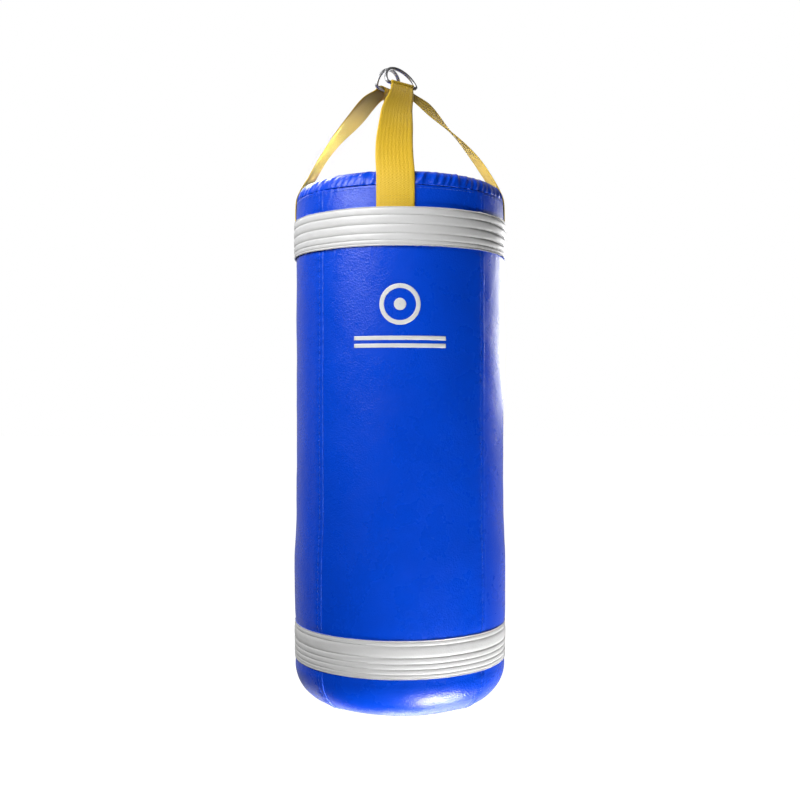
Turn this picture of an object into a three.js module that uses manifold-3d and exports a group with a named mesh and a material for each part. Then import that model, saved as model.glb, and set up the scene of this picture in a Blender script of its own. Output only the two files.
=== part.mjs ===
// A hanging heavy bag: four vinyl side panels, a gathered top with a zip, two ribbed bands,
// two yellow webbing straps and the two steel D-rings that a hook goes through.
// Millimetres, +Z up. The origin is where the hook bears under the rings' arcs. -Y is the front.
import * as THREE from "three";
import { mergeVertices } from "three/addons/utils/BufferGeometryUtils.js";
import Module from "manifold-3d";

const wasm = await Module();
wasm.setup();

// ---- Driving dimensions ----
const GAP = 0.3; // clearance between neighbouring pieces
const SIDES = 60; // facets round the bag
const SEAM_AZIMUTH = 48; // degrees from the front of the first upright seam
const PANELS = 4;
const BAG_SHIFT = 9; // the bag's axis stands this far along +X of the hook

const SKIN = 1.2; // thickness of the vinyl
const R_BODY = 148.7; // outside of the side panels
const R_BULGE = 151.3; // where the fill has settled and swells the panels
const R_TOP_SEAM = 147.2;
const R_UNDER_BAND = 149.9; // panels drawn in under the lower band
const R_FOOT = 150.2; // panels just below the lower band
const R_BOTTOM_DISC = 97;
const FOOT_ROUND = 50; // rounding between side and bottom
const FOOT_STEPS = 7; // facets along that rounding
const SHOULDER_ROUND = 22; // rounding of the gathered cap

const Z_BASE = -899;
const Z_TOP_SEAM = -194;
const Z_STRAIGHT_TOP = -215;
const Z_BULGE_START = -648;
const Z_BULGE_FULL = -691;

const BAND_HEIGHT = 50;
const BAND_THICKNESS = 1.5;
const BAND_EDGE = 0.6; // chamfer along a band's edges
const Z_UPPER_BAND = -248.2; // middle of the band
const Z_LOWER_BAND = -813.6;
const R_UPPER_BAND = 152.5; // outside
const R_LOWER_BAND = 151.8;

const WEB_WIDTH = 50.8;
const WEB_THICKNESS = 1.6;
const R_TAIL = 149.1; // inner face of the strap tails sewn under the upper band
const TAIL_TOP = -203;
const TAIL_LENGTH = 67;

const WIRE = 4.8; // D-ring steel
const RING_INNER_WIDTH = 51.4;
const RING_HEIGHT = 30; // middle of the bar to the middle of the arc's top
const RING_CORNER = 4;
const RING_APART = 4.5; // each arc's top from the hook's middle
const WIRE_BUTT = 0.4; // the open butt joint in the bar

// fold: how wide the webbing is where it crosses the bar. drift: how far it runs along the bar.
const RINGS = [
  { name: "d_ring_front_right", yaw: 42, lean: 27, side: 1, fold: 42, drift: 2.5 },
  { name: "d_ring_back_left", yaw: 55, lean: 12, side: -1, fold: 36, drift: 5.5 },
];
const RING_POINTS = 90; // along the ring's path
const RING_STEPS = 56; // facets along the wire

const R_TOP_PANEL = 118; // seam between the gathered cap and the zipped top
const ZIP_LENGTH = 200;
const ZIP_HALF_GAP = 7; // from the zip's middle to each top panel's edge
const CHAIN_HALF = 2.9;
const CHAIN_HEIGHT = 2.4;
const TOOTH_PITCH = 5;
const TAPE_WIDTH = 15.8;
const TAPE_THICKNESS = 0.8;
const TAPE_OVERHANG = 5; // tape beyond each end of the chain
const STOP_LENGTH = 4;
const SLIDER_LENGTH = 20;
const SLIDER_PLATE = 1.4;
const SLIDER_FLANGE = 2;
const BAIL_INNER = 2.8;
const BAIL_WIRE = 1.2;
const BAIL_WIDTH = 1.6;
const PULL_LENGTH = 34;
const PULL_WIDTH = 8;
const PULL_THICKNESS = 1.6;

const PATCH_WIDTH = 90; // stiffener behind each strap's tail
const PATCH_HEIGHT = 64;
const PATCH_THICKNESS = 1.5;
const R_LINER = 145.4;
const LINER_THICKNESS = 20;
const PAD_THICKNESS = 24.3; // top foam pad

const EMBLEM_Z = -350;
const EMBLEM_RADIUS = 27;
const EMBLEM_LINE = 6;
const EMBLEM_DOT = 8;
const EMBLEM_THICKNESS = 0.4;
const EMBLEM_REACH = 80; // half the height of the film that the emblem is cut from
const STRIPE_LENGTH = 124;
const STRIPE_HEIGHT = 5.5;
const STRIPE_DROPS = [44, 54]; // below the ring's middle

// ---- Colours ----
const finish = (color, roughness, metalness = 0) => ({ color, roughness, metalness });
const BLUE_VINYL = finish(0x0a3fc4, 0.35);
const WHITE_VINYL = finish(0xe4e4e2, 0.35);
const WEBBING = finish(0xe0b92e, 0.85);
const STEEL = finish(0x9a9ca0, 0.3, 1);
const ZIP_TAPE = finish(0x10245e, 0.9);
const ZIP_TEETH = finish(0x16213f, 0.5);
const INK = finish(0xe9e9e6, 0.5);
const CANVAS = finish(0xcfc8b4, 0.9);
const FOAM = finish(0x8d9096, 0.95);
const FILL = finish(0x6f6a63, 1);

const rad = THREE.MathUtils.degToRad;
const group = new THREE.Group();
const bag = new THREE.Group();
bag.position.x = BAG_SHIFT;
group.add(bag);

function addPiece(parent, name, geometry, look) {
  const mesh = new THREE.Mesh(geometry, new THREE.MeshStandardMaterial(look));
  mesh.name = name;
  parent.add(mesh);
  return mesh;
}

// ---- Solids ----
function toSolid(geometry) {
  const bare = geometry.index ? geometry.toNonIndexed() : geometry.clone();
  bare.deleteAttribute("normal");
  bare.deleteAttribute("uv");
  const merged = mergeVertices(bare, 1e-3);
  const vertProperties = merged.attributes.position.array;
  const triVerts = new Uint32Array(merged.index.array);
  return new wasm.Manifold(new wasm.Mesh({ numProp: 3, vertProperties, triVerts }));
}

function toGeometry(solid) {
  const { vertProperties, triVerts } = solid.getMesh();
  const geometry = new THREE.BufferGeometry();
  geometry.setAttribute("position", new THREE.BufferAttribute(vertProperties, 3));
  geometry.setIndex(new THREE.BufferAttribute(triVerts, 1));
  return geometry;
}

// An outline of [radius, z] points turned once round the bag's axis.
function turned(outline) {
  const points = outline.map(([r, z]) => new THREE.Vector2(r, z));
  if (outline[0][0] > 0) points.push(points[0].clone());
  return new THREE.LatheGeometry(points, SIDES, rad(SEAM_AZIMUTH)).rotateX(Math.PI / 2);
}

function arc(cx, cz, radius, from, to, steps) {
  return Array.from({ length: steps + 1 }, (_, i) => {
    const a = rad(from + ((to - from) * i) / steps);
    return [cx + radius * Math.cos(a), cz + radius * Math.sin(a)];
  });
}

const box = (dx, dy, dz, x = 0, y = 0, z = 0) => new THREE.BoxGeometry(dx, dy, dz).translate(x, y, z);

// A block that faces outwards at an azimuth, for cutting a patch out of a turned shell.
function cutter(width, zLow, zHigh, azimuth) {
  const depth = 100;
  const block = box(width, depth, zHigh - zLow, 0, -R_BODY, (zLow + zHigh) / 2);
  return toSolid(block.rotateZ(rad(azimuth)));
}

function shellPatch(rInner, thickness, width, zLow, zHigh, azimuth) {
  const shell = turned([
    [rInner, zLow],
    [rInner + thickness, zLow],
    [rInner + thickness, zHigh],
    [rInner, zHigh],
  ]);
  return toSolid(shell).intersect(cutter(width, zLow - 1, zHigh + 1, azimuth));
}

// ---- Side panels and bottom ----
const bandTop = (middle) => middle + BAND_HEIGHT / 2;
const bandBottom = (middle) => middle - BAND_HEIGHT / 2;
const TUCK = 2; // height in which the panels draw in beside the lower band
const footMiddle = R_FOOT - FOOT_ROUND;
const zFoot = Z_BASE + FOOT_ROUND;
const zPanelTop = Z_TOP_SEAM - GAP / 2;

const sideLine = (inset) => [
  [R_TOP_SEAM - inset, zPanelTop],
  [R_BODY - inset, Z_STRAIGHT_TOP],
  [R_BODY - inset, Z_BULGE_START],
  [R_BULGE - inset, Z_BULGE_FULL],
  [R_BULGE - inset, bandTop(Z_LOWER_BAND) + 4 * TUCK],
  [R_UNDER_BAND - inset, bandTop(Z_LOWER_BAND) + TUCK],
  [R_UNDER_BAND - inset, bandBottom(Z_LOWER_BAND) - TUCK],
  ...arc(footMiddle, zFoot, FOOT_ROUND - inset, 0, -90, FOOT_STEPS),
  [R_BOTTOM_DISC, Z_BASE + inset],
];

const skinRing = toSolid(turned([...sideLine(0).reverse(), ...sideLine(SKIN)]));
const quarter = 360 / PANELS;
const knifeMargin = 10; // how far the knife reaches past the skin, below and above
const panelNames = ["right", "back", "left", "front"];
panelNames.forEach((name, i) => {
  const middle = SEAM_AZIMUTH + quarter * (i + 0.5);
  const reach = 2 * R_BODY;
  const wedge = new THREE.Shape();
  wedge.moveTo(0, -GAP / 2 / Math.sin(rad(quarter / 2)));
  wedge.lineTo(reach, -reach);
  wedge.lineTo(-reach, -reach);
  const depth = Z_TOP_SEAM - Z_BASE + 2 * knifeMargin;
  const knife = new THREE.ExtrudeGeometry(wedge, { depth, bevelEnabled: false });
  knife.translate(0, 0, Z_BASE - knifeMargin).rotateZ(rad(middle));
  addPiece(bag, `side_panel_${name}`, toGeometry(skinRing.intersect(toSolid(knife))), BLUE_VINYL);
});

function disc(radius, zLow, zHigh) {
  return turned([
    [0, zLow],
    [radius, zLow],
    [radius, zHigh],
    [0, zHigh],
  ]);
}

addPiece(bag, "bottom_panel", disc(R_BOTTOM_DISC - GAP, Z_BASE, Z_BASE + SKIN), BLUE_VINYL);

// ---- Ribbed bands ----
function band(rOuter, middle) {
  const low = bandBottom(middle);
  const high = bandTop(middle);
  return turned([
    [rOuter - BAND_THICKNESS, low],
    [rOuter - BAND_EDGE, low],
    [rOuter, low + BAND_EDGE],
    [rOuter, high - BAND_EDGE],
    [rOuter - BAND_EDGE, high],
    [rOuter - BAND_THICKNESS, high],
  ]);
}

addPiece(bag, "upper_band", band(R_UPPER_BAND, Z_UPPER_BAND), WHITE_VINYL);
addPiece(bag, "lower_band", band(R_LOWER_BAND, Z_LOWER_BAND), WHITE_VINYL);

// ---- Gathered cap and zipped top ----
const shoulderMiddle = R_TOP_SEAM - SHOULDER_ROUND;
const zTop = Z_TOP_SEAM + SHOULDER_ROUND;
const zCapEdge = Z_TOP_SEAM + GAP / 2;
const capRing = turned([
  [R_TOP_SEAM, zCapEdge],
  ...arc(shoulderMiddle, Z_TOP_SEAM, SHOULDER_ROUND, 12, 90, 6),
  [R_TOP_PANEL + GAP, zTop],
  [R_TOP_PANEL + GAP, zTop - SKIN],
  ...arc(shoulderMiddle, Z_TOP_SEAM, SHOULDER_ROUND - SKIN, 90, 12, 6),
  [R_TOP_SEAM - SKIN, zCapEdge],
]);
addPiece(bag, "top_cap", capRing, BLUE_VINYL);

const zTapeTop = zTop - SKIN - GAP;
const zChainTop = zTop - 2 * GAP;
const chainMiddle = zChainTop - CHAIN_HEIGHT / 2;
for (const [name, side] of [
  ["front", -1],
  ["back", 1],
]) {
  const half = new THREE.Shape();
  const edge = Math.asin(ZIP_HALF_GAP / R_TOP_PANEL);
  half.absarc(0, 0, R_TOP_PANEL, edge, Math.PI - edge);
  const panel = new THREE.ExtrudeGeometry(half, { depth: SKIN, bevelEnabled: false, curveSegments: 24 });
  panel.rotateZ(side < 0 ? Math.PI : 0).translate(0, 0, zTop - SKIN);
  addPiece(bag, `top_panel_${name}`, panel, BLUE_VINYL);

  const tapeLength = ZIP_LENGTH + 2 * TAPE_OVERHANG;
  const tapeY = side * (CHAIN_HALF + GAP + TAPE_WIDTH / 2);
  const tape = box(tapeLength, TAPE_WIDTH, TAPE_THICKNESS, 0, tapeY, zTapeTop - TAPE_THICKNESS / 2);
  addPiece(bag, `zipper_tape_${name}`, tape, ZIP_TAPE);
}

// The closed chain: a strip with a notch on each side between one tooth and the next.
const toothDepth = 1.1;
const chain = new THREE.Shape();
chain.moveTo(-ZIP_LENGTH / 2, -CHAIN_HALF);
for (const side of [-1, 1]) {
  for (let x = -ZIP_LENGTH / 2 + TOOTH_PITCH; x < ZIP_LENGTH / 2; x += TOOTH_PITCH) {
    const across = side * CHAIN_HALF;
    chain.lineTo(-side * (x - TOOTH_PITCH / 4), across);
    chain.lineTo(-side * x, across - side * toothDepth);
    chain.lineTo(-side * (x + TOOTH_PITCH / 4), across);
  }
  chain.lineTo((-side * ZIP_LENGTH) / 2, side * CHAIN_HALF);
  if (side < 0) chain.lineTo(ZIP_LENGTH / 2, CHAIN_HALF);
}
const chainSolid = new THREE.ExtrudeGeometry(chain, { depth: CHAIN_HEIGHT, bevelEnabled: false });
addPiece(bag, "zipper_chain", chainSolid.translate(0, 0, zChainTop - CHAIN_HEIGHT), ZIP_TEETH);

for (const [name, side] of [
  ["left", -1],
  ["right", 1],
]) {
  const x = side * (ZIP_LENGTH / 2 + GAP + STOP_LENGTH / 2);
  const stop = box(STOP_LENGTH, 2 * CHAIN_HALF, CHAIN_HEIGHT, x, 0, chainMiddle);
  addPiece(bag, `zipper_stop_${name}`, stop, STEEL);
}

// The slider rests at the closed end. Its plate and flanges straddle the chain.
const sliderX = ZIP_LENGTH / 2 - SLIDER_LENGTH / 2 - 2;
const plateLow = zChainTop + GAP;
const plateHigh = plateLow + SLIDER_PLATE;
const flangeLow = zTapeTop + GAP;
const flangeIn = CHAIN_HALF + 2 * GAP;
const flangeOut = flangeIn + SLIDER_FLANGE;
const flangeHeight = plateHigh - flangeLow;
const slider = new THREE.Group();
slider.position.set(sliderX, 0, plateHigh);
bag.add(slider);
const bail = new THREE.Shape();
bail.absarc(0, 0, BAIL_INNER + BAIL_WIRE, 0, Math.PI);
bail.lineTo(-BAIL_INNER - BAIL_WIRE, -SLIDER_PLATE / 2);
bail.lineTo(-BAIL_INNER, -SLIDER_PLATE / 2);
bail.absarc(0, 0, BAIL_INNER, Math.PI, 0, true);
bail.lineTo(BAIL_INNER, -SLIDER_PLATE / 2);
bail.lineTo(BAIL_INNER + BAIL_WIRE, -SLIDER_PLATE / 2);
const bailLoop = new THREE.ExtrudeGeometry(bail, {
  depth: BAIL_WIDTH,
  bevelEnabled: false,
  curveSegments: 8,
});
bailLoop.translate(0, 0, -BAIL_WIDTH / 2).rotateX(Math.PI / 2);
let sliderBody = toSolid(box(SLIDER_LENGTH, 2 * flangeOut, SLIDER_PLATE, 0, 0, -SLIDER_PLATE / 2));
for (const side of [-1, 1]) {
  const y = side * (flangeIn + SLIDER_FLANGE / 2);
  const flange = box(SLIDER_LENGTH, SLIDER_FLANGE, flangeHeight, 0, y, -flangeHeight / 2);
  sliderBody = sliderBody.add(toSolid(flange));
}
addPiece(slider, "zipper_slider", toGeometry(sliderBody.add(toSolid(bailLoop))), STEEL);

// The pull hangs on the bail by the bar at the end of its window.
const pullBar = PULL_THICKNESS / 2;
const pullRise = 1.5;
const windowHalf = 2.2;
const windowEnd = 5.6;
const pull = new THREE.Shape();
pull.moveTo(pullBar, -PULL_WIDTH / 2);
pull.lineTo(pullBar, PULL_WIDTH / 2);
pull.absarc(-PULL_LENGTH + PULL_WIDTH / 2, 0, PULL_WIDTH / 2, Math.PI / 2, Math.PI * 1.5);
const pullWindow = new THREE.Path();
pullWindow.moveTo(-pullBar, -windowHalf);
pullWindow.lineTo(-pullBar, windowHalf);
pullWindow.lineTo(-windowEnd, windowHalf);
pullWindow.lineTo(-windowEnd, -windowHalf);
pull.holes.push(pullWindow);
const pullTab = new THREE.ExtrudeGeometry(pull, {
  depth: PULL_THICKNESS,
  bevelEnabled: false,
  curveSegments: 8,
});
pullTab.translate(0, 0, pullRise - PULL_THICKNESS / 2);
addPiece(slider, "zipper_pull", pullTab, STEEL);

// ---- D-rings ----
// Each ring stands on its bar and leans towards the other, so that both arcs meet over the hook.
const wireLine = RING_INNER_WIDTH / 2 + WIRE / 2;
const arcMiddle = RING_HEIGHT - wireLine;
const cornerX = Math.sqrt((wireLine - RING_CORNER) ** 2 - (RING_CORNER - arcMiddle) ** 2);
const cornerEnd = Math.atan2(RING_CORNER - arcMiddle, cornerX);

function ringPath() {
  const outline = new THREE.Path();
  outline.moveTo(WIRE_BUTT / 2, 0);
  outline.lineTo(cornerX, 0);
  outline.absarc(cornerX, RING_CORNER, RING_CORNER, -Math.PI / 2, cornerEnd);
  outline.absarc(0, arcMiddle, wireLine, cornerEnd, Math.PI - cornerEnd);
  outline.absarc(-cornerX, RING_CORNER, RING_CORNER, Math.PI - cornerEnd, Math.PI * 1.5);
  outline.lineTo(-WIRE_BUTT / 2, 0);
  const points = outline.getSpacedPoints(RING_POINTS).map((p) => new THREE.Vector3(p.x, 0, p.y));
  return new THREE.CatmullRomCurve3(points);
}

const wireSection = new THREE.Shape();
wireSection.absarc(0, 0, WIRE / 2, 0, 2 * Math.PI);
for (const ring of RINGS) {
  const yaw = rad(ring.yaw);
  ring.along = new THREE.Vector3(Math.cos(yaw), Math.sin(yaw), 0);
  ring.outward = new THREE.Vector3(Math.sin(yaw), -Math.cos(yaw), 0).multiplyScalar(ring.side);
  const lean = rad(ring.lean);
  ring.bar = ring.outward.clone().multiplyScalar(RING_APART + RING_HEIGHT * Math.sin(lean));
  ring.bar.z = WIRE / 2 - RING_HEIGHT * Math.cos(lean);
  const wire = new THREE.ExtrudeGeometry(wireSection, {
    steps: RING_STEPS,
    extrudePath: ringPath(),
    curveSegments: 5,
  });
  const mesh = addPiece(group, ring.name, wire, STEEL);
  mesh.position.copy(ring.bar);
  mesh.rotation.set(-ring.side * lean, 0, yaw, "ZYX");
}

// ---- Webbing straps ----
// A ribbon given by stations: a point, the direction across the ribbon and the one through it.
class Ribbon extends THREE.Curve {
  constructor(stations) {
    super();
    this.stations = stations;
  }
  station(t) {
    return this.stations[Math.round(t * (this.stations.length - 1))];
  }
  getPoint(t) {
    return this.station(t).point.clone();
  }
  getPointAt(t) {
    return this.getPoint(t);
  }
  computeFrenetFrames() {
    const last = this.stations.length - 1;
    const tangents = this.stations.map((_, i) => {
      const ahead = this.stations[Math.min(i + 1, last)].point;
      return ahead.clone().sub(this.stations[Math.max(i - 1, 0)].point).normalize();
    });
    const normals = this.stations.map((s) => s.across);
    const binormals = tangents.map((t, i) => t.clone().cross(normals[i]).normalize());
    return { tangents, normals, binormals };
  }
}

function across(yaw, width) {
  const direction = new THREE.Vector3(Math.cos(rad(yaw)), Math.sin(rad(yaw)), 0);
  return direction.multiplyScalar(width / WEB_WIDTH);
}

const FOLD_STEPS = 6;
const OUTER_DROP = 4; // how far the leg outside the ring falls straight down from the bar
const INNER_DROP = 8;
const GATHER_LENGTH = 80; // back to full width in this length
const LEG_STEPS = 18;
const foldRadius = WIRE / 2 + GAP + WEB_THICKNESS / 2;

// Each leg at LEG_LEVELS: its distance from the bag's axis and its drift sideways. twist: the share
// of its length in which it turns from the ring's yaw to bagYaw.
const LEGS = {
  front: {
    azimuth: -2.3,
    bagYaw: -2.3,
    twist: [0, 1],
    spread: [35, 62, 88, 111, 131.5, 141],
    drift: [4, -1, -2, -3, -2, -1],
  },
  right: {
    azimuth: 93,
    bagYaw: 93,
    twist: [0, 0.72],
    spread: [29, 57, 87, 112, 131.5, 140.5],
    drift: [3, 3, 2, 1, 0, 0],
  },
  left: {
    azimuth: -93,
    bagYaw: 87,
    twist: [0, 0.6],
    spread: [41, 66, 92.5, 113.5, 130.5, 140.5],
    drift: [4, 3, 2, 1, 0, 0],
  },
  back: {
    azimuth: 180,
    bagYaw: 0,
    twist: [0, 1],
    spread: [27, 55, 85, 111, 131.5, 140.5],
    drift: [12, 8, 5, 2, 1, 0],
  },
};
const LEG_LEVELS = [-42, -71, -100, -129, -158, -172.5];
const CONTACT = [
  [147.8, -187],
  [149.2, -194],
  [149.7, -199],
  [R_TAIL + WEB_THICKNESS / 2, -207],
];

// The stations of one leg, from the ring's bar down to its sewn tail.
function legStations(leg, ring, atFold, drop) {
  const out = new THREE.Vector3(Math.sin(rad(leg.azimuth)), -Math.cos(rad(leg.azimuth)), 0);
  const sideways = new THREE.Vector3(-out.y, out.x, 0);
  const place = (r, drift, z) =>
    new THREE.Vector3(BAG_SHIFT, 0, z).addScaledVector(out, r).addScaledVector(sideways, drift);
  const line = new THREE.CatmullRomCurve3([
    atFold,
    atFold.clone().add(new THREE.Vector3(0, 0, -drop)),
    ...LEG_LEVELS.map((z, i) => place(leg.spread[i], leg.drift[i], z)),
    ...CONTACT.map(([r, z]) => place(r, 0, z)),
  ]);
  const length = line.getLength();
  return line.getSpacedPoints(LEG_STEPS).map((point, i) => {
    const share = i / LEG_STEPS;
    const turn = THREE.MathUtils.smoothstep(share, leg.twist[0], leg.twist[1]);
    const open = THREE.MathUtils.smoothstep(share * length, 0, GATHER_LENGTH);
    const width = THREE.MathUtils.lerp(ring.fold, WEB_WIDTH, open);
    return { point, across: across(THREE.MathUtils.lerp(ring.yaw, leg.bagYaw, turn), width) };
  });
}

const webSection = new THREE.Shape();
webSection.moveTo(-WEB_WIDTH / 2, -WEB_THICKNESS / 2);
webSection.lineTo(WEB_WIDTH / 2, -WEB_THICKNESS / 2);
webSection.lineTo(WEB_WIDTH / 2, WEB_THICKNESS / 2);
webSection.lineTo(-WEB_WIDTH / 2, WEB_THICKNESS / 2);

function strap(name, ring, outer, inner) {
  const fold = Array.from({ length: FOLD_STEPS + 1 }, (_, i) => {
    const a = (Math.PI * i) / FOLD_STEPS;
    const point = ring.bar.clone();
    point.addScaledVector(ring.outward, foldRadius * Math.cos(a));
    point.addScaledVector(ring.along, ring.drift * ((2 * i) / FOLD_STEPS - 1));
    point.z += foldRadius * Math.sin(a);
    return { point, across: across(ring.yaw, ring.fold) };
  });
  const outerLeg = legStations(outer, ring, fold[0].point, OUTER_DROP);
  const innerLeg = legStations(inner, ring, fold[FOLD_STEPS].point, INNER_DROP);
  const stations = [...outerLeg.slice(1).reverse(), ...fold, ...innerLeg.slice(1)];
  const steps = stations.length - 1;
  const ribbon = new THREE.ExtrudeGeometry(webSection, { steps, extrudePath: new Ribbon(stations) });
  let solid = toSolid(ribbon.translate(-BAG_SHIFT, 0, 0));
  for (const leg of [outer, inner]) {
    const low = TAIL_TOP - TAIL_LENGTH;
    solid = solid.add(shellPatch(R_TAIL, WEB_THICKNESS, WEB_WIDTH, low, TAIL_TOP, leg.azimuth));
  }
  addPiece(bag, name, toGeometry(solid), WEBBING);
}

strap("strap_front_right", RINGS[0], LEGS.front, LEGS.right);
strap("strap_back_left", RINGS[1], LEGS.left, LEGS.back);

// ---- Inside ----
for (const [name, leg] of Object.entries(LEGS)) {
  const low = Z_UPPER_BAND - PATCH_HEIGHT / 2;
  const rInner = R_BODY - SKIN - GAP - PATCH_THICKNESS;
  const patch = shellPatch(rInner, PATCH_THICKNESS, PATCH_WIDTH, low, low + PATCH_HEIGHT, leg.azimuth);
  addPiece(bag, `strap_backing_${name}`, toGeometry(patch), CANVAS);
}

const zPadTop = zChainTop - CHAIN_HEIGHT - GAP;
const zPadLow = zPadTop - PAD_THICKNESS;
const padShoulder = SHOULDER_ROUND - SKIN - 2 * GAP;
const padCorner = Math.asin((zPadTop - Z_TOP_SEAM) / padShoulder);
const topPad = turned([
  [0, zPadLow],
  [R_LINER, zPadLow],
  ...arc(shoulderMiddle, Z_TOP_SEAM, padShoulder, 0, THREE.MathUtils.radToDeg(padCorner), 4),
  [0, zPadTop],
]);
addPiece(bag, "top_foam_pad", topPad, FOAM);

const footShell = FOOT_ROUND - SKIN - GAP;
const bottomPad = turned([
  [0, Z_BASE + SKIN + GAP],
  ...arc(footMiddle, zFoot, footShell, -90, 0, FOOT_STEPS),
  [0, zFoot],
]);
addPiece(bag, "bottom_foam_pad", bottomPad, FOAM);

const linerLow = zFoot + GAP;
const linerHigh = zPadLow - GAP;
const liner = turned([
  [R_LINER - LINER_THICKNESS, linerLow],
  [R_LINER, linerLow],
  [R_LINER, linerHigh],
  [R_LINER - LINER_THICKNESS, linerHigh],
]);
addPiece(bag, "foam_liner", liner, FOAM);
addPiece(bag, "fill_core", disc(R_LINER - LINER_THICKNESS - GAP, linerLow, linerHigh), FILL);

// ---- Printed emblem: a plain target ring over two plain stripes ----
const ringShape = new THREE.Shape();
ringShape.absarc(0, 0, EMBLEM_RADIUS, 0, 2 * Math.PI);
const ringHole = new THREE.Path();
ringHole.absarc(0, 0, EMBLEM_RADIUS - EMBLEM_LINE, 0, 2 * Math.PI);
ringShape.holes.push(ringHole);
const dotShape = new THREE.Shape();
dotShape.absarc(0, 0, EMBLEM_DOT, 0, 2 * Math.PI);
const stripeShape = (drop) => {
  const stripe = new THREE.Shape();
  stripe.moveTo(-STRIPE_LENGTH / 2, -drop - STRIPE_HEIGHT / 2);
  stripe.lineTo(STRIPE_LENGTH / 2, -drop - STRIPE_HEIGHT / 2);
  stripe.lineTo(STRIPE_LENGTH / 2, -drop + STRIPE_HEIGHT / 2);
  stripe.lineTo(-STRIPE_LENGTH / 2, -drop + STRIPE_HEIGHT / 2);
  return stripe;
};
const inkShell = toSolid(
  turned([
    [R_BODY + GAP, EMBLEM_Z - EMBLEM_REACH],
    [R_BODY + GAP + EMBLEM_THICKNESS, EMBLEM_Z - EMBLEM_REACH],
    [R_BODY + GAP + EMBLEM_THICKNESS, EMBLEM_Z + EMBLEM_REACH],
    [R_BODY + GAP, EMBLEM_Z + EMBLEM_REACH],
  ]),
);
const emblem = [
  ["emblem_ring", ringShape],
  ["emblem_dot", dotShape],
  ["emblem_stripe_upper", stripeShape(STRIPE_DROPS[0])],
  ["emblem_stripe_lower", stripeShape(STRIPE_DROPS[1])],
];
for (const [name, shape] of emblem) {
  const prism = new THREE.ExtrudeGeometry(shape, {
    depth: R_BODY,
    bevelEnabled: false,
    curveSegments: 18,
  });
  prism.translate(0, 0, R_BODY / 2).rotateX(Math.PI / 2).translate(0, 0, EMBLEM_Z);
  addPiece(bag, name, toGeometry(inkShell.intersect(toSolid(prism))), INK);
}

export default group;
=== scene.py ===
import math

import bpy
import numpy as np
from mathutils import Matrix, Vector


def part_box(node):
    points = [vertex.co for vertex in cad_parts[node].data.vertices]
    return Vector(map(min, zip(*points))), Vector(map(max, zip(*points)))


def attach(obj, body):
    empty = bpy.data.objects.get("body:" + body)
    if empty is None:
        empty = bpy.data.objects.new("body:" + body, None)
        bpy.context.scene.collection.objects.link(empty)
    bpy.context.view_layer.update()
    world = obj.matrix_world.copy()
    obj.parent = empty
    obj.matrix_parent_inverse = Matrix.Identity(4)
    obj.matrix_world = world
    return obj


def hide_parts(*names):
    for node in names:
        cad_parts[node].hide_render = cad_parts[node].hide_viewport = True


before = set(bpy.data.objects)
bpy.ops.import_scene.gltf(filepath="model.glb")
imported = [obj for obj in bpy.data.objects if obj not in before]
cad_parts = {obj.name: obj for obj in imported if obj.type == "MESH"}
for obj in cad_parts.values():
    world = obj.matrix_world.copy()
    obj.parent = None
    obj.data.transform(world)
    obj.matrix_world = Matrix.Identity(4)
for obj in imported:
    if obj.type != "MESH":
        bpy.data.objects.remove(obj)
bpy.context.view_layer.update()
scene = bpy.context.scene

# Lengths below are in millimetres, and become metres where a mesh is made.
MM = 0.001
TURN = 2 * math.pi


def cad_mm(node):
    low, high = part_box(node)
    return np.array(low) / MM, np.array(high) / MM


def cad_radius(node):
    low, high = cad_mm(node)
    return (high[0] - low[0]) / 2


# ---- Places that come from the frame ----
upper_low, upper_high = cad_mm("upper_band")
lower_low, lower_high = cad_mm("lower_band")
AXIS_X = (upper_low[0] + upper_high[0]) / 2
Z_BASE = cad_mm("bottom_panel")[0][2]
Z_TOP_SEAM = cad_mm("side_panel_front")[1][2]
Z_TOP = cad_mm("top_cap")[1][2]
R_BAND = cad_radius("upper_band")
R_LOWER_BAND = cad_radius("lower_band")
R_BOTTOM_DISC = cad_radius("bottom_panel")
R_TOP_PANEL = cad_radius("top_panel_front")

# ---- Sizes of the sewn details ----
R_BODY = 148.7
R_FOOT = 150.2
FOOT_ROUND = 50.0
SHOULDER_ROUND = 22.0
SKIN = 0.9
SEAM_AZIMUTHS = [-43.6, 50.0, 138.0, 228.0, 316.4]  # the last is the first again
PANEL_NAMES = ["front", "right", "back", "left"]
LAP = 10.0  # how far one panel runs under the next
LAP_RISE = 0.95
STITCH_INSET = 7.7
STITCH_PITCH = 5.2
STITCH_LENGTH = 4.0
RIB_PITCH = 5.1  # of the webbing, across it
PICK_PITCH = 2.3  # of the webbing, along it


# ---- Small maths ----
def smooth(x, low, high):
    t = np.clip((np.asarray(x, float) - low) / (high - low), 0.0, 1.0)
    return t * t * (3 - 2 * t)


def bell(x, width):
    return np.exp(-((np.asarray(x, float) / width) ** 2))


def waves(azimuth, along, seed, orders, lengths, count=14):
    """Smooth seeded unevenness that closes round the bag; about -1 to 1."""
    rng = np.random.default_rng(seed)
    total = np.zeros(np.broadcast(azimuth, along).shape)
    for _ in range(count):
        order = int(rng.integers(orders[0], orders[1] + 1))
        length = rng.uniform(*lengths) * rng.choice([-1.0, 1.0])
        phase = rng.uniform(0, TURN)
        total += np.cos(order * azimuth + TURN * along / length + phase)
    return total / math.sqrt(count) / 1.4


def round_the_bag(r, z, azimuth):
    """Points from radius, height and azimuth, which runs from the front towards +X."""
    r, z, azimuth = np.broadcast_arrays(r, z, azimuth)
    return np.stack([AXIS_X + r * np.sin(azimuth), -r * np.cos(azimuth), z], axis=-1)


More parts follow.
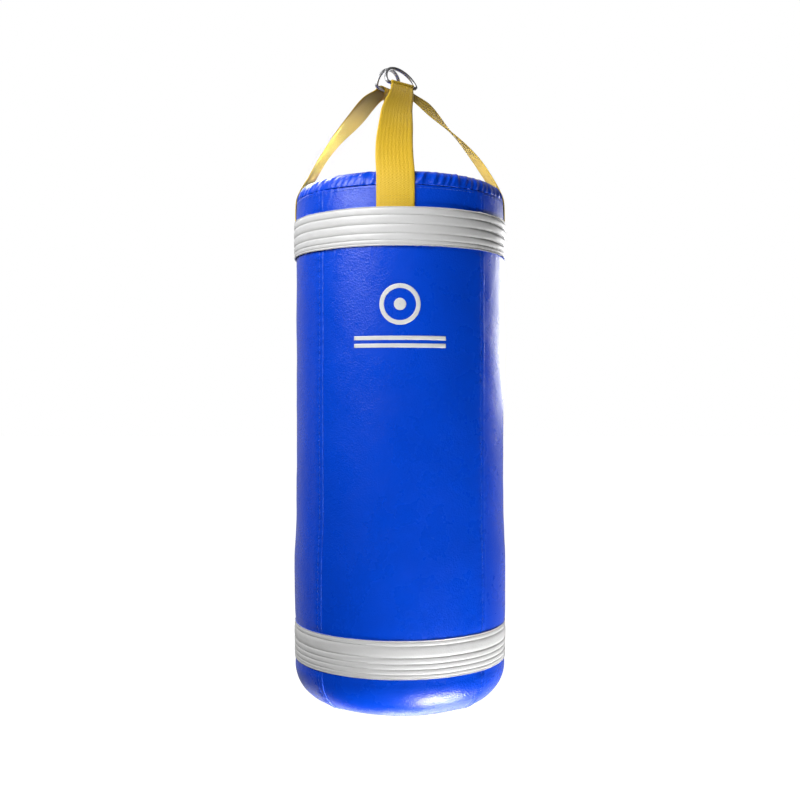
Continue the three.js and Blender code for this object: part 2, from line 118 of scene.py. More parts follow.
# ---- Mesh making ----
def grid_faces(rows, cols, wrap_cols=False):
    i = np.arange(rows - 1)[:, None]
    j = np.arange(cols if wrap_cols else cols - 1)[None, :]
    down, right = i + 1, (j + 1) % cols
    quads = [i * cols + j, down * cols + j, down * cols + right, i * cols + right]
    return np.stack(np.broadcast_arrays(*quads), axis=-1).reshape(-1, 4)


def tube_faces(rows, cols):
    """A tube of rows of points, with both its ends closed."""
    size = rows * cols
    ends = [list(range(cols)), list(range(size - 1, size - 1 - cols, -1))]
    return grid_faces(rows, cols, wrap_cols=True).tolist() + ends


def add_object(name, data):
    obj = bpy.data.objects.new(name, data)
    scene.collection.objects.link(obj)
    return obj


def add_mesh(name, verts, faces, material, attributes=None):
    mesh = bpy.data.meshes.new(name)
    corners = np.asarray(verts).reshape(-1, 3) * MM
    mesh.from_pydata(corners.tolist(), [], [list(f) for f in faces])
    mesh.polygons.foreach_set("use_smooth", [True] * len(mesh.polygons))
    for key, values in (attributes or {}).items():
        values = np.asarray(values, float)
        kind = "FLOAT_VECTOR" if values.ndim > 1 and values.shape[-1] == 3 else "FLOAT"
        layer = mesh.attributes.new(key, kind, "POINT")
        layer.data.foreach_set("vector" if kind == "FLOAT_VECTOR" else "value", values.ravel())
    mesh.materials.append(material)
    return add_object(name, mesh)


def add_grid(name, points, material, attributes=None, wrap_cols=False):
    faces = grid_faces(*points.shape[:2], wrap_cols=wrap_cols)
    return add_mesh(name, points, faces.tolist(), material, attributes)


def thicken(obj, thickness):
    solid = obj.modifiers.new("thickness", "SOLIDIFY")
    solid.thickness = thickness * MM
    solid.offset = -1
    return obj


def place(obj, body, slot, *nodes):
    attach(obj, body)
    if nodes:
        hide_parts(*nodes)


# ---- Materials ----
def new_material(name, **settings):
    material = bpy.data.materials.new(name)
    material.use_nodes = True
    tree = material.node_tree
    bsdf = tree.nodes["Principled BSDF"]
    for key, value in settings.items():
        bsdf.inputs[key.replace("_", " ")].default_value = value
    return material, tree, bsdf


def node(tree, kind, inputs=None, **settings):
    made = tree.nodes.new(kind)
    for key, value in settings.items():
        setattr(made, key, value)
    for key, value in (inputs or {}).items():
        if isinstance(value, bpy.types.NodeSocket):
            tree.links.new(value, made.inputs[key])
        else:
            made.inputs[key].default_value = value
    return made


def wire(bsdf, name, socket):
    bsdf.id_data.links.new(socket, bsdf.inputs[name])


def calc(tree, operation, a, b=0.0):
    return node(tree, "ShaderNodeMath", {0: a, 1: b}, operation=operation).outputs[0]


def object_coords(tree, scale=(1, 1, 1)):
    coords = node(tree, "ShaderNodeTexCoord").outputs["Object"]
    return node(tree, "ShaderNodeMapping", {"Vector": coords, "Scale": scale}).outputs[0]


def noise(tree, scale, detail=3.0, roughness=0.55, vector=None):
    vector = vector or object_coords(tree)
    inputs = {"Vector": vector, "Scale": scale, "Detail": detail, "Roughness": roughness}
    return node(tree, "ShaderNodeTexNoise", inputs).outputs["Fac"]


def remap(tree, value, low, high, out_low, out_high):
    inputs = {"Value": value, "From Min": low, "From Max": high, "To Min": out_low, "To Max": out_high}
    return node(tree, "ShaderNodeMapRange", inputs).outputs[0]


def mix_colors(tree, factor, a, b):
    inputs = {0: factor, 6: a, 7: b}
    return node(tree, "ShaderNodeMix", inputs, data_type="RGBA").outputs[2]


def bump(tree, height, distance, strength=1.0, below=None):
    inputs = {"Height": height, "Distance": distance, "Strength": strength}
    if below is not None:
        inputs["Normal"] = below
    return node(tree, "ShaderNodeBump", inputs).outputs[0]


def attribute(tree, name):
    return node(tree, "ShaderNodeAttribute", attribute_name=name)


def vinyl(name, color, dark, worn_and_painted_light, roughness, grain):
    """Coated fabric with a fine pebble grain. The third colour is laid on where the vertex attribute is
    set: on the blue, rubbed fold edges that are also a painted highlight; on the white, painted shade in
    the band grooves.
    """
    material, tree, bsdf = new_material(name, Specular_IOR_Level=0.44, IOR=1.5)
    spread = {"Vector": object_coords(tree), "Scale": 430.0}
    cells = node(tree, "ShaderNodeTexVoronoi", spread).outputs["Distance"]
    fine = calc(tree, "MULTIPLY", noise(tree, 900.0, 2.0), 0.7)
    pebble = calc(tree, "ADD", calc(tree, "MULTIPLY", cells, 1.1), fine)
    under = bump(tree, noise(tree, 38.0, 2.0), 0.0008, 0.2)
    wire(bsdf, "Normal", bump(tree, pebble, 0.0003, grain, under))
    blotch = remap(tree, noise(tree, 9.0, 3.0), 0.3, 0.7, 0.0, 1.0)
    base = mix_colors(tree, blotch, color, dark)
    # The vertex attribute marks rubbed fold edges with a painted highlight on them, and painted shade in
    # grooves.
    wear_and_painted_light = attribute(tree, "wear_and_painted_light").outputs["Fac"]
    patches = remap(tree, noise(tree, 160.0), 0.35, 0.65, 0.25, 0.9)
    patchy = calc(tree, "MULTIPLY", wear_and_painted_light, patches)
    wire(bsdf, "Base Color", mix_colors(tree, patchy, base, worn_and_painted_light))
    rough = remap(tree, noise(tree, 26.0, 4.0), 0.3, 0.7, roughness - 0.03, roughness + 0.05)
    wire(bsdf, "Roughness", rough)
    return material


def webbing():
    """Ribbed woven webbing: warp ribs along it, weft picks across, from the weave attribute in mm; the
    weave's hollows get painted shade.
    """
    settings = {"Specular_IOR_Level": 0.45, "Sheen_Weight": 0.2, "Sheen_Roughness": 0.35}
    material, tree, bsdf = new_material("webbing_yellow", **settings)
    split = node(tree, "ShaderNodeSeparateXYZ", {0: attribute(tree, "weave").outputs["Vector"]})
    across, along = split.outputs[0], split.outputs[1]
    rib = calc(tree, "COSINE", calc(tree, "MULTIPLY", across, TURN / RIB_PITCH))
    row = calc(tree, "FLOOR", calc(tree, "DIVIDE", across, RIB_PITCH / 2))
    half = calc(tree, "MULTIPLY", calc(tree, "MODULO", row, 2.0), PICK_PITCH / 2)
    shifted = calc(tree, "ADD", along, half)
    pick = calc(tree, "SINE", calc(tree, "MULTIPLY", shifted, TURN / PICK_PITCH))
    fibre = noise(tree, 2400.0, 2.0)
    ribs = calc(tree, "MULTIPLY", rib, 0.24)
    height = calc(tree, "ADD", ribs, calc(tree, "MULTIPLY", pick, 0.45))
    height = calc(tree, "ADD", height, calc(tree, "MULTIPLY", fibre, 1.2))
    wire(bsdf, "Normal", bump(tree, height, 0.00032, 0.8))
    # Painted shade: the low parts of the weave take the darker yellow, the raised threads the lighter.
    painted_hollow_shade = remap(tree, height, -0.7, 1.9, 0.0, 1.0)
    woven = mix_colors(tree, painted_hollow_shade, (0.65, 0.38, 0.006, 1), (0.81, 0.54, 0.022, 1))
    faded = remap(tree, noise(tree, 18.0, 3.0), 0.35, 0.7, 0.0, 0.4)
    wire(bsdf, "Base Color", mix_colors(tree, faded, woven, (0.80, 0.55, 0.035, 1)))
    wire(bsdf, "Roughness", remap(tree, fibre, 0.3, 0.7, 0.45, 0.6))
    return material


def steel(name, color, roughness):
    """Plain plated wire or die-cast metal, finely scratched and dull in places."""
    material, tree, bsdf = new_material(name, Metallic=1.0)
    scratches = noise(tree, 900.0, 3.0, vector=object_coords(tree, (1, 1, 0.25)))
    wire(bsdf, "Normal", bump(tree, scratches, 0.00006, 0.5))
    rough = remap(tree, noise(tree, 240.0), 0.3, 0.7, roughness - 0.06, roughness + 0.1)
    wire(bsdf, "Roughness", rough)
    dull = tuple(c * 0.72 for c in color[:3]) + (1,)
    stain = remap(tree, noise(tree, 70.0, 4.0), 0.35, 0.7, 0.0, 1.0)
    wire(bsdf, "Base Color", mix_colors(tree, stain, color, dull))
    return material


def cloth(name, light, dark, scale, relief=0.0003, roughness=0.9):
    """A plain woven or felted surface: crossed threads with uneven colour, painted darker in the low parts
    of the weave as painted shade.
    """
    material, tree, bsdf = new_material(name, Roughness=roughness, Sheen_Weight=0.1)
    inputs = {"Vector": object_coords(tree), "Scale": scale, "Distortion": 1.5, "Detail": 2.0}
    bands = {"wave_type": "BANDS", "bands_direction": "DIAGONAL"}
    weave = node(tree, "ShaderNodeTexWave", inputs, **bands).outputs["Fac"]
    height = calc(tree, "ADD", weave, noise(tree, scale * 3, 3.0))
    wire(bsdf, "Normal", bump(tree, height, relief, 0.7))
    # Painted shade: the low parts of the weave take the dark colour, the raised threads the light one.
    painted_hollow_shade = remap(tree, height, 0.4, 1.6, 0.0, 1.0)
    wire(bsdf, "Base Color", mix_colors(tree, painted_hollow_shade, dark, light))
    return material


def ink():
    """Screen print on vinyl."""
    material, tree, bsdf = new_material("print_white", Specular_IOR_Level=0.4)
    grain = noise(tree, 1400.0, 2.0)
    wire(bsdf, "Normal", bump(tree, grain, 0.00008, 0.4))
    tint = remap(tree, noise(tree, 90.0, 4.0), 0.3, 0.7, 0.0, 1.0)
    color = mix_colors(tree, tint, (0.74, 0.74, 0.73, 1), (0.68, 0.68, 0.67, 1))
    wire(bsdf, "Base Color", color)
    wire(bsdf, "Roughness", remap(tree, grain, 0.3, 0.7, 0.4, 0.55))
    return material


BLUE = vinyl(
    "vinyl_blue",
    color=(0.0006, 0.064, 0.68, 1),
    dark=(0.0004, 0.056, 0.62, 1),
    # Lighter blue for rubbed fold edges, which also stands in as a painted highlight along the folds.
    worn_and_painted_light=(0.06, 0.16, 0.80, 1),
    roughness=0.27,
    grain=0.75,
)
WHITE = vinyl(
    "vinyl_white",
    color=(0.67, 0.67, 0.67, 1),
    dark=(0.63, 0.63, 0.625, 1),
    # Near black: painted shade, laid into the band grooves.
    worn_and_painted_light=(0.05, 0.05, 0.05, 1),
    roughness=0.33,
    grain=0.25,
)
WEBBING = webbing()
RING_STEEL = steel("ring_steel", (0.62, 0.625, 0.64, 1), 0.52)
ZIP_METAL = steel("zip_metal", (0.42, 0.42, 0.44, 1), 0.34)
# Each pair below is the colour of the raised threads and the darker painted shade of the weave's low parts.
BLUE_THREAD = cloth("thread_blue", (0.05, 0.16, 0.80, 1), (0.02, 0.08, 0.55, 1), 1800.0, 0.0001, 0.6)
YELLOW_THREAD = cloth("thread_yellow", (0.80, 0.58, 0.06, 1), (0.55, 0.36, 0.02, 1), 1800.0, 0.0001, 0.6)
WHITE_THREAD = cloth("thread_white", (0.80, 0.80, 0.78, 1), (0.60, 0.60, 0.59, 1), 1800.0, 0.0001, 0.6)
ZIP_TAPE = cloth("zip_tape", (0.02, 0.05, 0.16, 1), (0.008, 0.02, 0.08, 1), 1500.0, 0.0002)
ZIP_TEETH = cloth("zip_teeth", (0.03, 0.05, 0.14, 1), (0.015, 0.03, 0.09, 1), 900.0, 0.00005, 0.4)
PRINT = ink()
CANVAS = cloth("backing_canvas", (0.62, 0.58, 0.48, 1), (0.42, 0.39, 0.31, 1), 800.0)
FOAM = cloth("foam", (0.24, 0.25, 0.27, 1), (0.14, 0.15, 0.16, 1), 400.0, 0.001)
FILL = cloth("fill", (0.20, 0.18, 0.17, 1), (0.09, 0.08, 0.08, 1), 120.0, 0.004)
CAD_LOOKS = {  # nodes that keep their CAD shape, by the start of their names
    "zipper_tape": ZIP_TAPE,
    "strap_backing": CANVAS,
    "foam_liner": FOAM,
    "top_foam_pad": FOAM,
    "bottom_foam_pad": FOAM,
    "fill_core": FILL,
}


# ---- Camera, which stands level with the lower half of the bag ----
CAMERA_DISTANCE = 1494.0
BASE_TO_EYE = 424.0
camera = add_object("camera", bpy.data.cameras.new("camera"))
camera.data.lens = 46.5
camera.data.sensor_width = 36
camera.location = Vector((AXIS_X, -CAMERA_DISTANCE, Z_BASE + BASE_TO_EYE)) * MM
camera.rotation_euler = (math.pi / 2, 0, 0)
scene.camera = camera


# ---- The bag's skin ----
SIDE_KNOTS = [  # height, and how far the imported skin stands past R_BODY there
    (Z_TOP_SEAM - 2, -0.6),
    (Z_TOP_SEAM - 13, -0.2),
    (upper_high[2] + 5, 0.25),
    (upper_low[2], 0.2),
    (-400, -0.1),
    (-520, -0.1),
    (-640, 0.2),
    (-668, 1.4),
    (-692, 2.5),
    (-730, 2.8),
    (-772, 2.6),
    (lower_high[2] + 6, 2.2),
    (lower_high[2] - 1, 1.2),
    (lower_low[2] + 1, 1.2),
    (Z_BASE + FOOT_ROUND, R_FOOT - R_BODY),
]
SIDE_STEP = 2.5
SOFTEN_REACH = 4  # steps on each side that round off a knot


def side_meridian():
    """The skin's outline from the top seam down to the seam of the bottom disc."""
    crease = [
        (R_BODY - 2.2, Z_TOP_SEAM + 0.4),
        (R_BODY - 1.2, Z_TOP_SEAM + 0.1),
        (R_BODY - 0.7, Z_TOP_SEAM - 0.6),
    ]
    heights, bulges = np.array(SIDE_KNOTS).T
    z = np.arange(heights[0], heights[-1], -SIDE_STEP)
    r = R_BODY + np.interp(-z, -heights, bulges)
    kernel = bell(np.arange(-SOFTEN_REACH, SOFTEN_REACH + 1), 2.2)
    padded = np.pad(r, SOFTEN_REACH, mode="edge")
    r = np.convolve(padded, kernel / kernel.sum(), mode="valid")
    foot = np.radians(np.linspace(0, -90, 38))
    foot_r = R_FOOT - FOOT_ROUND + FOOT_ROUND * np.cos(foot)
    foot_z = Z_BASE + FOOT_ROUND + FOOT_ROUND * np.sin(foot)
    hem = [
        (R_BOTTOM_DISC + 2.2, Z_BASE),
        (R_BOTTOM_DISC + 0.9, Z_BASE + 0.3),
        (R_BOTTOM_DISC + 0.3, Z_BASE + 1.6),
    ]
    return np.array(crease + list(zip(r, z)) + list(zip(foot_r, foot_z)) + hem)


def distance_along(points):
    """How far along a line each of its points is."""
    steps = np.linalg.norm(np.diff(points, axis=0), axis=1)
    return np.concatenate([[0], np.cumsum(steps)])


MERIDIAN = side_meridian()
ARC = distance_along(MERIDIAN)
SLOPE = np.gradient(MERIDIAN, ARC, axis=0)
NORMAL = np.stack([-SLOPE[:, 1], SLOPE[:, 0]], axis=1)


def arc_at(z):
    """Distance down the skin at a height of the straight side."""
    rows = MERIDIAN[:, 1] > Z_BASE + FOOT_ROUND
    return np.interp(-np.asarray(z, float), -MERIDIAN[rows, 1], ARC[rows])


def band_cover(s, reach=2.0):
    """1 where a band presses on the skin, starting this far past the band's edges."""
    blend = 5.0
    cover = np.zeros(np.shape(s))
    for low, high in ((upper_low[2], upper_high[2]), (lower_low[2], lower_high[2])):
        from_top = smooth(s, *arc_at([high + reach, high + reach - blend]))
        from_bottom = smooth(-s, *-arc_at([low - reach, low - reach + blend]))
        cover = np.maximum(cover, from_top * from_bottom)
    return cover


def skin_relief(s, azimuth):
    """How far the stuffed skin stands proud of its smooth outline."""
    free = 1 - band_cover(s)
    edges = arc_at([upper_high[2], upper_low[2], lower_high[2], lower_low[2]])
    near_band = sum(np.exp(-np.abs(s - e) / 9.0) for e in edges)
    near_top = np.exp(-np.abs(s - ARC[2]) / 6.0)
    near_foot = np.exp(-np.abs(s - ARC[-3]) / 8.0)
    relief = 0.42 * free * waves(azimuth, s, 11, (2, 9), (70, 420))
    relief += 0.10 * free * waves(azimuth, s, 12, (14, 34), (26, 90))
    relief += 0.20 * free * near_band * waves(azimuth, s, 13, (38, 66), (60, 200))
    relief += 0.45 * near_top * waves(azimuth, s, 14, (78, 104), (30, 90), 6)
    relief += 0.45 * near_foot * waves(azimuth, s, 15, (52, 76), (30, 90), 6)
    return relief


def skin_points(s, azimuth, lift=0.0):
    """Points on the skin, lifted along its normal."""
    s, azimuth = np.broadcast_arrays(np.asarray(s, float), np.asarray(azimuth, float))
    height = skin_relief(s, azimuth) + lift
    r = np.interp(s, ARC, MERIDIAN[:, 0]) + height * np.interp(s, ARC, NORMAL[:, 0])
    z = np.interp(s, ARC, MERIDIAN[:, 1]) + height * np.interp(s, ARC, NORMAL[:, 1])
    return round_the_bag(r, z, azimuth)


def lap_lift(s, from_edge):
    """The doubled edge of a panel where it laps over its neighbour and is stitched down."""
    pressed = 0.9 * band_cover(s, 8.0)
    layer = LAP_RISE * smooth(from_edge, -30, -LAP + 3) * (1 - pressed)
    fold = np.clip(from_edge + 1.0, 0, 1)
    rounding = (layer + 0.2) * (1 - np.sqrt(1 - fold**2))
    row = from_edge + STITCH_INSET
    groove = 0.22 * bell(row, 1.3)
    pull = 0.5 + 0.5 * np.cos(TURN * s / STITCH_PITCH)
    dimple = 0.2 * pull * bell(row, 2.2)
    pucker = 0.28 * np.sin(TURN * s / 13.0 + 2.0 * np.sin(s / 41.0)) * bell(row, 7.0)
    return layer - rounding - groove - dimple + pucker


def side_panel(index):
    """One quarter of the skin, tucked under the panel before it and lapped over the next."""
    name = PANEL_NAMES[index]
    start, end = np.radians(SEAM_AZIMUTHS[index : index + 2])
    span = (end - start) * R_BODY
    finer_from = span - 20
    inner = np.arange(-LAP, finer_from, 2.4)
    edge = np.linspace(finer_from, span, 28)
    across = np.concatenate([inner, edge])
    azimuth = start + across / R_BODY
    s = ARC[:, None]
    from_edge = (across - span)[None, :]
    lift = lap_lift(s, from_edge)
    fade = smooth(s, 0, 3) * smooth(-s, -ARC[-1], -ARC[-1] + 4)
    tucked = -0.35 * smooth(-across, 0, LAP * 0.4)[None, :]
    points = skin_points(s, azimuth[None, :], lift * fade + tucked)
    # Rubbed edge of the lap fold, lightened also as a painted highlight along the fold; not under the
    # bands.
    wear_and_painted_light = bell(from_edge + 0.4, 0.9) * (1 - band_cover(s))
    panel = add_grid(f"skin_panel_{name}", points, BLUE, {"wear_and_painted_light": wear_and_painted_light.ravel()})
    thicken(panel, SKIN)
    place(panel, "bag", "vinyl_blue", f"side_panel_{name}")


# ---- Stitches ----
THREAD_SIDES = 6
THREAD_STEPS = 6


def stitches(name, starts, ends, normals, material, slot, radius=0.34, lift=0.35):
    """One short arched thread for each pair of ends."""
    starts, ends, normals = (np.asarray(a, float) for a in (starts, ends, normals))
    t = np.linspace(0, 1, THREAD_STEPS + 1)[None, :, None]
    arch = np.sin(math.pi * t)
    centre = starts[:, None] * (1 - t) + ends[:, None] * t + normals[:, None] * (lift * arch - radius * 0.6)
    along = ends - starts
    along /= np.linalg.norm(along, axis=1, keepdims=True)
    side = np.cross(along, normals)
    angle = np.linspace(0, TURN, THREAD_SIDES, endpoint=False)[None, None, :, None]
    ring = np.cos(angle) * side[:, None, None] + np.sin(angle) * normals[:, None, None]
    verts = centre[:, :, None] + ring * (radius * (0.7 + 0.3 * arch))[:, :, None]
    tube = tube_faces(THREAD_STEPS + 1, THREAD_SIDES)
    size = (THREAD_STEPS + 1) * THREAD_SIDES
    faces = [[k * size + v for v in face] for k in range(len(starts)) for face in tube]
    obj = add_mesh(name, verts.reshape(-1, 3), faces, material)
    place(obj, "bag", slot)


def surface_normals(here, ahead, beside):
    """Unit normals at some points, from a second and a third point near each."""
    normal = np.cross(ahead - here, beside - here)
    return normal / np.linalg.norm(normal, axis=1, keepdims=True)


def seam_threads():
    """A row down each lap seam, except under the bands."""
    s = np.arange(ARC[3] + 4, ARC[-4] - 4, STITCH_PITCH)
    s = s[band_cover(s) < 0.5]
    for index, name in enumerate(PANEL_NAMES):
        azimuth = math.radians(SEAM_AZIMUTHS[index + 1]) - STITCH_INSET / R_BODY
        lift = lap_lift(s, np.full_like(s, -STITCH_INSET)) + 0.12
        here = skin_points(s, azimuth, lift)
        ahead = skin_points(s + STITCH_LENGTH, azimuth, lift)
        beside = skin_points(s, azimuth + 0.01, lift)
        normals = surface_normals(here, ahead, beside)
        stitches(f"lap_threads_{name}", here, ahead, normals, BLUE_THREAD, "thread_blue")


def bottom_disc():
    """The flat bottom, with its hem turned up into the foot seam and one topstitch row."""
    flat = np.linspace(2, R_BOTTOM_DISC - 4, 30)
    r = np.concatenate([flat, R_BOTTOM_DISC + np.array([-2.4, -1.0, -0.2, 0.1])])
    lift = np.concatenate([0 * flat, [0.05, 0.3, 1.0, 1.8]])
    seam = R_BOTTOM_DISC - 6
    azimuth = np.linspace(0, TURN, 240, endpoint=False)
    edge = bell(r - R_BOTTOM_DISC, 14.0)[:, None]
    ripple = 0.35 * edge * waves(azimuth[None, :], r[:, None], 21, (44, 70), (30, 80), 6)
    groove = 0.3 * bell(r - seam, 1.3)[:, None]
    z = Z_BASE + 0.15 + lift[:, None] + np.abs(ripple) + groove
    points = round_the_bag(r[:, None], z, azimuth[None, :])[::-1]
    centre = np.array([[AXIS_X, 0, Z_BASE + 0.15]])
    faces = grid_faces(len(r), len(azimuth), wrap_cols=True).tolist()
    verts = np.concatenate([points.reshape(-1, 3), centre])
    last = (len(r) - 1) * len(azimuth)
    for j in range(len(azimuth)):
        faces.append([last + j, len(verts) - 1, last + (j + 1) % len(azimuth)])
    disc = thicken(add_mesh("bottom_disc", verts, faces, BLUE, {"wear_and_painted_light": np.zeros(len(verts))}), SKIN)
    place(disc, "bag", "vinyl_blue", "bottom_panel")
    around = np.arange(0, TURN, STITCH_PITCH / seam)
    here = round_the_bag(seam, Z_BASE + 0.25, around)
    ahead = round_the_bag(seam, Z_BASE + 0.25, around + STITCH_LENGTH / R_BOTTOM_DISC)
    down = np.tile([0.0, 0.0, -1.0], (len(here), 1))
    stitches("bottom_threads", here, ahead, down, BLUE_THREAD, "thread_blue")


# ---- Ribbed bands ----
BAND_VINYL = 0.45
BAND_ROWS = 110
BAND_STEPS_ROUND = 620
BAND_START = math.radians(172)
BAND_OVERLAP = 16.0
BAND_LAP_RISE = 0.75
FULLEST_AND_SHADED = math.radians(64 + 360)  # counted on from BAND_START, so more than a full turn; the grooves are painted darkest here, as painted shade where the light falls off


def ribbed_band(name, z_low, z_high, crest, grooves, depth, flatness, fuller_and_shaded, seed):
    """A folded strip of vinyl, quilted into soft ribs, whose end laps over its start at the back.

    The grooves are shares of the height. The fullness argument sets how far the fill presses the ribs out
    on the fullest side, and also how dark the painted shade in the grooves grows there.
    """
    height = z_high - z_low
    down = np.linspace(0, 1, BAND_ROWS)
    rib = np.zeros_like(down)
    for top, bottom in zip(grooves[:-1], grooves[1:]):
        inside = (down >= top) & (down <= bottom)
        q = (down[inside] - top) / (bottom - top)
        swell = depth * min(1.0, (bottom - top) / 0.2)
        rib[inside] = swell * (1 - np.abs(2 * q - 1) ** flatness)
    lip = 0.55 * depth * (bell(down, 0.018) + bell(down - 1, 0.018))
    profile = crest - depth + np.maximum(rib, lip)
    azimuth = BAND_START + np.linspace(0, TURN + BAND_OVERLAP / crest, BAND_STEPS_ROUND)
    lap = BAND_LAP_RISE * smooth(azimuth - BAND_START - TURN, -0.06, 0.0)
    sway = 0.21 * waves(azimuth, 0, seed, (2, 14), (50, 90))
    puff = 0.12 * waves(azimuth[None, :], down[:, None] * height, seed + 1, (20, 60), (12, 60))
    puff = puff * (rib > 0.15 * depth)[:, None]
    fullness_and_shade = fuller_and_shaded * bell(azimuth - FULLEST_AND_SHADED, math.radians(20))
    r = crest - (crest - profile)[:, None] * (1 + fullness_and_shade) + lap + puff
    z = z_high - down[:, None] * height + sway

    turned_in = np.array([(profile[0] - 0.9, -0.15), (profile[0] - 0.45, -0.35)])
    turned_under = np.array([(R_BODY + 0.9, 0.1), (profile[-1] - 1.3, -0.35), (profile[-1] - 0.5, -0.3)])
    all_r = np.concatenate([turned_in[:, :1] + lap, r, turned_under[:, :1] + lap])
    all_z = np.concatenate([z_high + turned_in[:, 1:] + sway, z, z_low + turned_under[:, 1:] + sway])
    points = round_the_bag(all_r, all_z, azimuth[None, :])

    # Painted shade: the grooves are darkened through the vertex attribute, a little all round and most on
    # the fullest side, where the light falls off.
    fold = np.clip(1 - 1.4 * rib / depth - 3.0 * lip / depth, 0, 1)
    painted_groove_shade = np.zeros(all_r.shape)
    first = len(turned_in)
    painted_groove_shade[first : first + BAND_ROWS] = np.clip(fold[:, None] * (0.08 + fullness_and_shade), 0, 1)
    obj = add_grid(f"ribbed_band_{name}", points, WHITE, {"wear_and_painted_light": painted_groove_shade.ravel()})
    thicken(obj, BAND_VINYL)
    place(obj, "bag", "vinyl_white", f"{name}_band")


# ---- Gathered cap ----
CAP_STEPS_ROUND = 720
PUCKERS = 92
CLOTH_SCALE = 10.0  # the cloth is simulated ten times larger, where the solver is steady
CLOTH_FRAMES = 26
CLOTH_SETTINGS = {
    "quality": 6,
    "mass": 0.25,
    "tension_stiffness": 30,
    "compression_stiffness": 30,
    "shear_stiffness": 10,
    "bending_stiffness": 0.6,
    "air_damping": 4,
    "use_pressure": True,
    "uniform_pressure_force": 0.4,
}
GATHER_SHARE = 0.012  # how much longer the cap is cut than the seam that it is gathered into
EVEN_BULGE = 0.8  # share of the bulge all round that is taken out again; the puckers stay
MOST_RISE = 3.2
MOST_SINK = -0.6
MOST_SLIDE = 1.5


def cap_meridian():
    """The cap's outline from the top seam over the shoulder to the zipped top."""
    middle = R_BODY - 0.8 - SHOULDER_ROUND
    crease = [
        (R_BODY - 2.2, Z_TOP_SEAM + 0.6),
        (R_BODY - 1.2, Z_TOP_SEAM + 0.7),
        (R_BODY - 0.8, Z_TOP_SEAM + 1.3),
    ]
    turn = np.radians(np.linspace(10, 90, 30))
    arc_r = middle + SHOULDER_ROUND * np.cos(turn)
    arc_z = Z_TOP - SHOULDER_ROUND + SHOULDER_ROUND * np.sin(turn)
    flat = [(r, Z_TOP) for r in np.linspace(middle - 1.5, R_TOP_PANEL + 2.5, 5)]
    hem = [(R_TOP_PANEL + 1.2, Z_TOP - 0.4), (R_TOP_PANEL + 0.5, Z_TOP - 1.6)]
    return np.array(crease + list(zip(arc_r, arc_z)) + flat + hem)


def angle_between(azimuth, other):
    """The shorter way round from one azimuth to another, with its sign."""
    return (azimuth - other + math.pi) % TURN - math.pi


def cap_folds(azimuth, t, length):
    """Slanted puckers that start at the top seam and die out over the shoulder."""
    rng = np.random.default_rng(31)
    total = np.zeros(np.broadcast(azimuth, t).shape)
    for i in range(PUCKERS):
        centre = TURN * (i + rng.uniform(-0.32, 0.32)) / PUCKERS
        slant = rng.uniform(0.1, 0.75) / R_BODY
        reach = rng.uniform(14, 30)
        width = rng.uniform(2.6, 4.6) / R_BODY
        size = rng.uniform(1.1, 3.0)
        offset = angle_between(azimuth, centre + slant * t)
        rise = t / (t + 2.5) * np.exp(-((t / reach) ** 2))
        total += size * rise * (bell(offset, width) - 0.45 * bell(offset - 1.6 * width, width * 0.8))
    return total * smooth(-t, -length, -length + 8)


def room_for_folds(azimuth, t):
    """How far the cap may stand up: hardly at all where a strap lies over the shoulder."""
    pressed = np.zeros(np.shape(azimuth))
    for leg in LEGS.values():
        offset = angle_between(azimuth, math.radians(leg["azimuth"]))
        past_edge = np.abs(offset) * R_BODY - WEB_WIDTH / 2
        pressed = np.maximum(pressed, 1 - smooth(past_edge, 1.0, 5.0))
    touched = 1 - smooth(t, 20, 30)  # the strap leaves the cap further up
    return MOST_RISE * (1 - 0.98 * pressed * touched)


def gather_by_cloth(base, normal, t, azimuth):
    """Simulate the ease that is sewn into the top seam, and return how far each point moves."""
    rows, cols = base.shape[:2]
    length = t[-1]
    axis = np.array([AXIS_X, 0, 0])
    pleated = cap_folds(azimuth, t[:, None], length)[..., None]
    start = base + pleated * normal
    ease = GATHER_SHARE * (1 - smooth(t, 0.30 * length, 0.85 * length))[:, None]
    cut = (start - axis) * (1 + ease[..., None] * np.array([1.0, 1.0, 0.0])) + axis
    points = start.reshape(-1, 3) * MM * CLOTH_SCALE
    mesh = bpy.data.meshes.new("cut_cap")
    faces = grid_faces(rows, cols, wrap_cols=True)[:, ::-1]
    mesh.from_pydata(points.tolist(), [], faces.tolist())
    piece = add_object("cut_cap", mesh)
    piece.shape_key_add(name="Basis")
    key = piece.shape_key_add(name="cut")
    key.data.foreach_set("co", (cut.reshape(-1, 3) * MM * CLOTH_SCALE).ravel())
    sewn = piece.vertex_groups.new(name="sewn")
    edge_rows = np.flatnonzero((t < 0.9) | (t > length - 3.0))
    sewn.add([int(r * cols + c) for r in edge_rows for c in range(cols)], 1.0, "REPLACE")
    solver = piece.modifiers.new("cloth", "CLOTH")
    for setting, value in CLOTH_SETTINGS.items():
        setattr(solver.settings, setting, value)
    solver.settings.vertex_group_mass = "sewn"
    solver.settings.rest_shape_key = key
    solver.settings.effector_weights.gravity = 0
    solver.point_cache.frame_start = 1
    solver.point_cache.frame_end = CLOTH_FRAMES
    for step in range(1, CLOTH_FRAMES + 1):
        scene.frame_set(step)
    solved = piece.evaluated_get(bpy.context.evaluated_depsgraph_get()).to_mesh()
    co = np.empty(rows * cols * 3)
    solved.vertices.foreach_get("co", co)
    move = co.reshape(rows, cols, 3) / MM / CLOTH_SCALE - base
    bpy.data.objects.remove(piece)
    scene.frame_set(1)
    rise = (move * normal).sum(axis=2, keepdims=True)
    slide = move - rise * normal
    rise = rise - rise.mean(axis=1, keepdims=True) * EVEN_BULGE
    return np.clip(slide, -MOST_SLIDE, MOST_SLIDE) + np.maximum(rise, MOST_SINK) * normal


